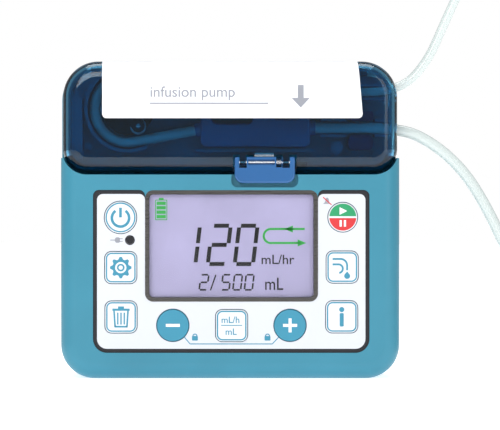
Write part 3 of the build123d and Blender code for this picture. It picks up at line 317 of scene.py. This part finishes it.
at = KEY_CENTRES["bin_key"]
key_print("bin_key", "lid", [bar(at.x - 3.2, at.z + 2.7, at.x + 3.2, at.z + 2.7, 0.8)], "ink_cyan")
key_print("bin_key", "handle", [bar(at.x - 1.1, at.z + 3.5, at.x + 1.1, at.z + 3.5, 0.8)], "ink_cyan")
key_print("bin_key", "side_left", [bar(at.x - 2.6, at.z + 2.3, at.x - 2.2, at.z - 3.6, 0.6)], "ink_cyan")
key_print("bin_key", "side_right", [bar(at.x + 2.6, at.z + 2.3, at.x + 2.2, at.z - 3.6, 0.6)], "ink_cyan")
key_print("bin_key", "foot", [bar(at.x - 2.4, at.z - 3.6, at.x + 2.4, at.z - 3.6, 0.6)], "ink_cyan")
for slat in (-1, 0, 1):
    slat_x = at.x + 1.2 * slat
    key_print("bin_key", f"slat_{slat + 1}", [bar(slat_x, at.z + 1.6, slat_x, at.z - 2.8, 0.5)],
              "ink_cyan")

for key, strokes in (("minus_key", ((1, 0),)), ("plus_key", ((1, 0), (0, 1)))):
    at = KEY_CENTRES[key]
    for number, (dx, dz) in enumerate(strokes):
        reach = 2.6
        key_print(key, f"stroke_{number}", [bar(at.x - dx * reach, at.z - dz * reach, at.x + dx * reach,
                                                at.z + dz * reach, 1.1)], "ink_white", 0.00001 * number)

at = KEY_CENTRES["unit_key"]
lettering("unit_key_rate", "mL/h", at.x - 3.9, at.z + 1.0, 3.4, "ink_cyan", KEY_Y, "unit_key")
key_print("unit_key", "divider", [bar(at.x - 3.9, at.z + 0.1, at.x + 3.9, at.z + 0.1, 0.3)], "ink_cyan")
lettering("unit_key_volume", "mL", at.x - 2.4, at.z - 3.4, 3.4, "ink_cyan", KEY_Y, "unit_key")

at = KEY_CENTRES["start_key"]
upper = [(at.x + 5.0 * math.cos(math.radians(a)), at.z + 5.0 * math.sin(math.radians(a)))
         for a in range(4, 177, 4)]
lower = [(x, 2 * at.z - z) for x, z in upper][::-1]
key_print("start_key", "upper", [upper], "ink_start")
key_print("start_key", "lower", [lower], "ink_red")
play = [(at.x - 1.2, at.z + 0.9), (at.x + 1.6, at.z + 2.3), (at.x - 1.2, at.z + 3.7)]
key_print("start_key", "play", [play],
          "ink_white", 0.00004)
for side in (-1, 1):
    key_print("start_key", f"pause_{side + 1}",
              [bar(at.x + 0.8 * side, at.z - 3.5, at.x + 0.8 * side, at.z - 1.1, 0.8)], "ink_white", 0.00004)

at = KEY_CENTRES["fill_key"]
key_print("fill_key", "tube_outer", [bar(at.x - 3.6, at.z + 3.0, at.x - 0.6, at.z + 3.0, 0.7)], "ink_cyan")
key_print("fill_key", "tube_bend", [arc_band(at.x - 0.6, at.z + 0.6, 2.4, 0.7, 0, 90)], "ink_cyan")
key_print("fill_key", "tube_drop", [bar(at.x + 1.8, at.z + 0.6, at.x + 1.8, at.z - 1.2, 0.7)], "ink_cyan")
key_print("fill_key", "tube_inner", [bar(at.x - 3.6, at.z + 1.0, at.x - 1.4, at.z + 1.0, 0.7)], "ink_cyan")
key_print("fill_key", "tube_hook", [arc_band(at.x - 1.4, at.z - 0.6, 1.6, 0.7, -80, 90)], "ink_cyan")
key_print("fill_key", "drop", [[(at.x + 1.8, at.z - 1.6)] + [
    (at.x + 1.8 + 1.1 * math.cos(math.radians(a)), at.z - 3.3 + 1.1 * math.sin(math.radians(a)))
    for a in range(150, 391, 20)]], "ink_cyan")

at = KEY_CENTRES["info_key"]
key_print("info_key", "dot", [circle(at.x, at.z + 2.7, 0.95)], "ink_cyan")
key_print("info_key", "stem", [rounded(at.x, at.z - 1.1, 1.5, 5.0, 0.4)], "ink_cyan")

# ---- Panel prints ----
PANEL_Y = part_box("key_panel")[0].y - 0.00001
printed("plug_body", [rounded(-41.9, 51.5, 1.8, 2.0, 0.6)], "ink_mid", PANEL_Y, "case")
printed("plug_cord", [bar(-44.6, 51.5, -42.6, 51.5, 0.35)], "ink_mid", PANEL_Y, "case")
for side in (-1, 1):
    prong_z = 51.5 + 0.5 * side
    printed(f"plug_prong_{side + 1}", [bar(-41.2, prong_z, -40.0, prong_z, 0.3)], "ink_mid",
            PANEL_Y, "case")
printed("mute_bell", [[(34.3, 64.9), (35.0, 65.6), (35.2, 66.8), (35.8, 67.3), (36.4, 66.8), (36.6, 65.6),
                       (37.3, 64.9)]], "ink_mid", PANEL_Y, "case")
printed("mute_slash", [bar(34.3, 67.4, 37.4, 64.6, 0.35)], "ink_red", PANEL_Y - 0.00004, "case")
for side, lock_x in ((-1, -13.2), (1, 13.7)):
    printed(f"lock_body_{side + 1}", [rounded(lock_x, 15.1, 2.2, 1.7, 0.3)], "ink_cyan", PANEL_Y, "case")
    printed(f"lock_shackle_{side + 1}", [arc_band(lock_x, 15.9, 0.75, 0.4, 0, 180)], "ink_cyan", PANEL_Y,
            "case")
for number, (x0, z0, x1, z1) in enumerate(((-17.2, 15.6, -15.0, 13.0), (-15.0, 13.0, 15.5, 13.0),
                                           (15.5, 13.0, 17.9, 15.6))):
    printed(f"lock_line_{number}", [bar(x0, z0, x1, z1, 0.35)], "ink_cyan", PANEL_Y, "case")

# ---- Display ----
LCD_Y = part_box("lcd_module")[0].y - 0.00002
SEGMENTS = {"0": "abcdef", "1": "bc", "2": "abged", "5": "afgcd", "6": "afgedc"}


def digit(name, figure, x, z, width, height, stroke, slant=0.12):
    """Seven-segment figure with its lower left corner at (x, z)."""
    half = height / 2
    ends = {
        "a": ((0, height), (width, height)), "g": ((0, half), (width, half)), "d": ((0, 0), (width, 0)),
        "f": ((0, half), (0, height)), "b": ((width, half), (width, height)),
        "e": ((0, 0), (0, half)), "c": ((width, 0), (width, half)),
    }
    for letter in SEGMENTS[figure]:
        (x0, z0), (x1, z1) = ends[letter]
        gap = stroke * 0.42
        across = x0 != x1
        x0 = x0 + (gap if across else 0)
        x1 = x1 - (gap if across else 0)
        z0 = z0 + (0 if across else gap)
        z1 = z1 - (0 if across else gap)
        loop = [(x + px + slant * pz, z + pz) for px, pz in bar(x0, z0, x1, z1, stroke)]
        printed(f"{name}_{letter}", [loop], "lcd_black", LCD_Y, "case")


digit("rate_1", "1", -17.0, 42.6, 4.0, 14.2, 1.5)
digit("rate_2", "2", -8.4, 42.6, 6.8, 14.2, 1.5)
digit("rate_3", "0", 1.6, 42.6, 6.8, 14.2, 1.5)
for number, (figure, x) in enumerate((("2", -11.6), ("5", -3.4), ("0", 0.9), ("0", 5.2))):
    digit(f"dose_{number}", figure, x, 33.0, 2.9, 5.6, 0.62)
printed("dose_slash", [bar(-7.4, 32.8, -5.4, 38.6, 0.5)], "lcd_black", LCD_Y, "case")
lettering("dose_unit", "mL", 12.6, 33.0, 6.6, "lcd_black", LCD_Y, "case", width=0.85)
lettering("rate_unit", "mL/hr", 11.3, 42.6, 5.0, "lcd_black", LCD_Y, "case", width=1.02)
printed("flow_top", [bar(15.0, 55.6, 27.6, 55.6, 0.8)], "lcd_green", LCD_Y, "case")
printed("flow_low", [bar(15.0, 50.4, 26.0, 50.4, 0.8)], "lcd_green", LCD_Y, "case")
printed("flow_bend", [arc_band(15.0, 53.0, 2.6, 0.8, 90, 270)], "lcd_green", LCD_Y, "case")
printed("flow_head_in", [[(23.2, 54.3), (20.0, 55.6), (23.2, 56.9)]], "lcd_green", LCD_Y, "case")
printed("flow_head_out", [[(25.0, 49.1), (28.2, 50.4), (25.0, 51.7)]], "lcd_green", LCD_Y, "case")
for level in range(4):
    level_z = 60.2 + 1.65 * level
    printed(f"battery_bar_{level}", [rounded(-25.7, level_z, 3.4, 1.25, 0.1)], "lcd_green", LCD_Y, "case")
printed("battery_shell", [rounded(-25.7, 62.7, 4.5, 7.6, 0.3), rounded(-25.7, 62.7, 3.9, 7.0, 0.2)[::-1]],
        "lcd_green", LCD_Y, "case")
printed("battery_tip", [rounded(-25.7, 66.8, 1.8, 0.7, 0.2)], "lcd_green", LCD_Y, "case")

# ---- Giving-set tubes: free cords along the design's routes, with their coils ----
CONNECTOR_R = 4.0
INLET_R = 1.7
INLET_COIL = (179.0, 0.0)
INLET_COIL_R = 18.7
INLET_COIL_TURNS = 3.25
INLET_PITCH = 3.5
OUTLET_R = 2.1
OUTLET_COIL = (131.0, 0.0)
OUTLET_COIL_R = 23.2
OUTLET_COLUMN_STEP = -4.3
OUTLET_COLUMN_TURNS = 3.5
OUTLET_PITCH = 4.35
INLET_ROUTE = [
    (50.0, -8.0, 106.9),
    (63.5, -8.0, 106.9),
    (74.0, -8.5, 117.8),
    (80.6, -9.0, 133.0),
    (88.0, -8.0, 149.0),
    (101.0, -5.0, 161.0),
    (118.0, -1.0, 165.5),
    (134.0, 4.0, 160.0),
    (146.0, 9.0, 145.0),
    (152.5, 13.0, 124.0),
    (155.5, 16.0, 100.0),
    (157.0, 18.5, 76.0),
    (158.0, 20.5, 52.0),
    (158.8, 21.5, 31.5),
    (159.8, 14.5, 17.3),
]
OUTLET_ROUTE = [
    (50.0, -8.0, 93.4),
    (64.5, -8.0, 93.4),
    (76.5, -8.4, 87.6),
    (87.5, -9.5, 77.6),
    (95.5, -12.0, 64.5),
    (102.0, -15.5, 50.0),
    (109.0, -19.5, 36.5),
    (118.5, -22.4, 25.0),
]
STEPS_PER_TURN = 24


def coil_points(centre, first_r, columns, step, turns, pitch, floor_z, start_angle):
    """Turns of a coil: down the first column and up the next."""
    points = []
    total = columns * turns
    count = round(total * STEPS_PER_TURN)
    for i in range(count + 1):
        turn = total * i / count
        column = min(int(turn / turns), columns - 1)
        into = turn - column * turns
        drop = turns - into if column % 2 == 0 else into
        shift = min(1.0, into * 6) if column else 1.0
        radius = first_r + step * (column - 1 + shift if column else 0)
        angle = math.radians(start_angle) + 2 * math.pi * turn
        points.append((centre[0] + radius * math.cos(angle), centre[1] + radius * math.sin(angle),
                       floor_z + pitch * drop))
    return points


def cord_curve(name, points, radius):
    """Smooth round cord through its route's control points, in millimetres."""
    curve = bpy.data.curves.new(name, "CURVE")
    curve.dimensions = "3D"
    curve.bevel_depth = radius * MM
    curve.bevel_resolution = 8
    curve.resolution_u = 6
    curve.use_fill_caps = True
    spline = curve.splines.new("NURBS")
    spline.points.add(len(points) - 1)
    for point, place in zip(spline.points, points):
        point.co = (*(value * MM for value in place), 1)
    spline.order_u = 3
    spline.use_endpoint_u = True
    curve.materials.append(MATERIALS["tube_silicone"])
    thing = bpy.data.objects.new(name, curve)
    bpy.context.scene.collection.objects.link(thing)
    return thing


def line_length(thing):
    """Length of a curve's own line, in metres."""
    bare = thing.copy()
    bare.data = thing.data.copy()
    bare.data.bevel_depth = 0
    mesh = bpy.data.meshes.new_from_object(bare)
    places = [vertex.co.copy() for vertex in mesh.vertices]
    bpy.data.objects.remove(bare)
    bpy.data.meshes.remove(mesh)
    return sum((b - a).length for a, b in zip(places, places[1:]))


inlet_turns = coil_points(INLET_COIL, INLET_COIL_R, 1, 0, INLET_COIL_TURNS, INLET_PITCH, INLET_R, 180)
outlet_turns = coil_points(OUTLET_COIL, OUTLET_COIL_R, 2, OUTLET_COLUMN_STEP, OUTLET_COLUMN_TURNS,
                           OUTLET_PITCH, OUTLET_R, -90)
outlet_height = 2 * OUTLET_R + OUTLET_PITCH * OUTLET_COLUMN_TURNS
inlet_end = (196.6, INLET_COIL[1] - INLET_COIL_R, CONNECTOR_R)
outlet_end = (143.6, -15.5, outlet_height + CONNECTOR_R)
for name, route, turns, end, radius, tube_z, nodes, plug in (
    ("inlet_cord", INLET_ROUTE, inlet_turns, inlet_end, INLET_R, 106.9,
     ("inlet_tube", "inlet_coil", "inlet_lead"), "bag_spike"),
    ("outlet_cord", OUTLET_ROUTE, outlet_turns, outlet_end, OUTLET_R, 93.4,
     ("outlet_tube", "outlet_coil", "outlet_lead"), "end_connector"),
):
    middle = tuple((a + b) / 2 for a, b in zip(turns[-1], end))
    cord = cord_curve(name, route + turns + [middle, end], radius)
    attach(cord, "case")
    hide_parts(*nodes)
    line_length(cord)

# ---- Floor, light and camera ----
floor_mesh = bpy.data.meshes.new("floor")
floor_mesh.from_pydata([(-3, -3, 0), (3, -3, 0), (3, 5, 0), (-3, 5, 0)], [], [(0, 1, 2, 3)])
floor = bpy.data.objects.new("floor", floor_mesh)
bpy.context.scene.collection.objects.link(floor)
floor.data.materials.append(surface("floor_white", (0.95, 0.95, 0.95), 0.75, 60, 0.02, tint=0.01, glow=0.75))

world = bpy.data.worlds.new("studio")
bpy.context.scene.world = world
world.use_nodes = True
world_tree = world.node_tree
around = world_tree.nodes["Background"]
around.inputs["Color"].default_value = (0.93, 0.97, 1.0, 1)
around.inputs["Strength"].default_value = 0.42
backdrop = world_tree.nodes.new("ShaderNodeBackground")
backdrop.inputs["Color"].default_value = (1.0, 1.0, 1.0, 1)
path = world_tree.nodes.new("ShaderNodeLightPath")
choice = world_tree.nodes.new("ShaderNodeMixShader")
world_tree.links.new(path.outputs["Is Camera Ray"], choice.inputs[0])
world_tree.links.new(around.outputs["Background"], choice.inputs[1])
world_tree.links.new(backdrop.outputs["Background"], choice.inputs[2])
world_tree.links.new(choice.outputs["Shader"], world_tree.nodes["World Output"].inputs["Surface"])


def area_light(name, place, target, size, power):
    light = bpy.data.lights.new(name, "AREA")
    light.shape = "RECTANGLE"
    light.size, light.size_y = size
    light.energy = power
    thing = bpy.data.objects.new(name, light)
    bpy.context.scene.collection.objects.link(thing)
    thing.location = place
    thing.rotation_euler = (Vector(target) - Vector(place)).to_track_quat("-Z", "Y").to_euler()


area_light("key", (-0.30, -0.85, 0.55), (0, 0, 0.06), (0.6, 0.5), 4.6)
area_light("fill", (0.55, -0.75, 0.30), (0, 0, 0.06), (0.35, 0.6), 1.2)
area_light("top", (0.0, 0.1, 0.7), (0, 0, 0.06), (0.6, 0.3), 2.6)

VIEW_WIDTH = 0.1853
VIEW_X = 0.0072
VIEW_Z = 0.0608
DISTANCE = 1.10
CAMERA_X = -0.030
camera = bpy.data.cameras.new("camera")
camera.sensor_width = 36
camera.lens = 36 * (DISTANCE - 0.021) / VIEW_WIDTH
camera.shift_x = (VIEW_X - CAMERA_X) / VIEW_WIDTH
camera.clip_start = 0.05
camera_object = bpy.data.objects.new("camera", camera)
bpy.context.scene.collection.objects.link(camera_object)
camera_object.location = (CAMERA_X, -DISTANCE, VIEW_Z)
camera_object.rotation_euler = (math.pi / 2, 0, 0)
bpy.context.scene.camera = camera_object
bpy.context.scene.view_settings.view_transform = "Standard"
